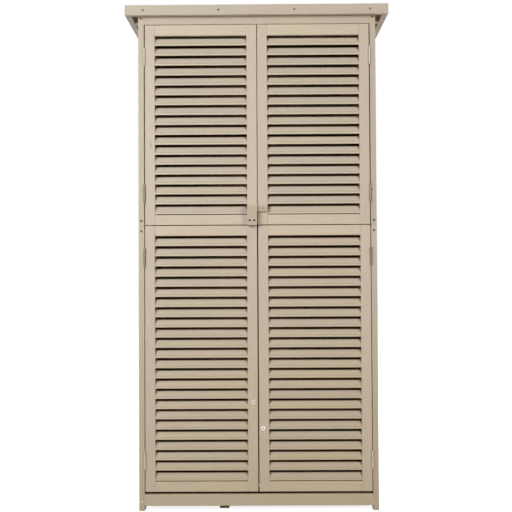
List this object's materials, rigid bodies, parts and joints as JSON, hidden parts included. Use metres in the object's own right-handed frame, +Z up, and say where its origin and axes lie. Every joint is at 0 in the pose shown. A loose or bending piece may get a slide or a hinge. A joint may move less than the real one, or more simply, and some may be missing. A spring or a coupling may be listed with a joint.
{
  "type": "garden storage cabinet",
  "caption": "Tall narrow outdoor wooden cabinet with a sloping roof, louvred double doors on butt hinges, a drop-bar latch and shelves inside.",
  "frame": {"origin": "on the ground, under the middle of the roof", "axes": "+Z up, +Y from the doors to the back, +X to the right seen from the front"},
  "size_m": [0.835, 0.465, 1.61],
  "materials": {
    "painted_pine": "pale taupe wood stain, matt",
    "bare_pine": "planed softwood, dip treated",
    "roofing_felt": "mineral-faced bitumen felt",
    "zinc_steel": "zinc plated",
    "catch_plastic": "moulded"
  },
  "bodies": {
    "carcass": {"bottom_rail": "painted_pine", "header_rail": "painted_pine", "rear_rails": "bare_pine", "back_boards_lower": "painted_pine", "back_boards_upper": "painted_pine", "floor_boards": "bare_pine", "floor_bearers": "bare_pine", "support_block": "bare_pine", "low_shelf": "bare_pine", "middle_shelf": "bare_pine", "high_shelf": "bare_pine", "shelf_battens": "bare_pine", "low_shelf_rail": "bare_pine", "roof_deck": "bare_pine", "roofing_felt": "roofing_felt", "fascia": "painted_pine", "rear_trim": "painted_pine", "roof_bearers": "painted_pine", "frame_screws": "zinc_steel", "hinge_pins": "zinc_steel", "magnetic_catches": "catch_plastic", "left_front_post_lower": "painted_pine", "left_front_post_upper": "painted_pine", "left_rear_posts": "painted_pine", "left_side_boards_lower": "painted_pine", "left_side_boards_upper": "painted_pine", "left_side_rails": "painted_pine", "left_side_trim": "painted_pine", "left_hinge_frame_leaves": "zinc_steel", "right_front_post_lower": "painted_pine", "right_front_post_upper": "painted_pine", "right_rear_posts": "painted_pine", "right_side_boards_lower": "painted_pine", "right_side_boards_upper": "painted_pine", "right_side_rails": "painted_pine", "right_side_trim": "painted_pine", "right_hinge_frame_leaves": "zinc_steel"},
    "right_door": {"right_upper_stiles": "painted_pine", "right_upper_leaf_rails": "painted_pine", "right_upper_slats": "painted_pine", "right_lower_stiles": "painted_pine", "right_lower_leaf_rails": "painted_pine", "right_lower_slats": "painted_pine", "right_joining_plates": "zinc_steel", "right_hinge_door_leaves": "zinc_steel", "right_strike": "zinc_steel", "latch_pivot_screw": "zinc_steel"},
    "left_door": {"left_upper_stiles": "painted_pine", "left_upper_leaf_rails": "painted_pine", "left_upper_slats": "painted_pine", "left_lower_stiles": "painted_pine", "left_lower_leaf_rails": "painted_pine", "left_lower_slats": "painted_pine", "left_joining_plates": "zinc_steel", "left_hinge_door_leaves": "zinc_steel", "left_strike": "zinc_steel", "latch_keeper": "painted_pine", "keeper_screws": "zinc_steel"},
    "latch_bar": {"latch_bar": "painted_pine"}
  },
  "joints": [
    {"name": "right_door_hinge", "type": "hinge", "parent": "carcass", "child": "right_door", "pos_m": [0.359, -0.2057, 0.8], "axis": [0, 0, 1], "range_deg": [0, 180]},
    {"name": "left_door_hinge", "type": "hinge", "parent": "carcass", "child": "left_door", "pos_m": [-0.359, -0.2057, 0.8], "axis": [0, 0, -1], "range_deg": [0, 180]},
    {"name": "latch_bar_pivot", "type": "hinge", "parent": "right_door", "child": "latch_bar", "pos_m": [0.018, -0.208, 0.954], "axis": [0, 1, 0], "range_deg": [0, 90]}
  ]
}
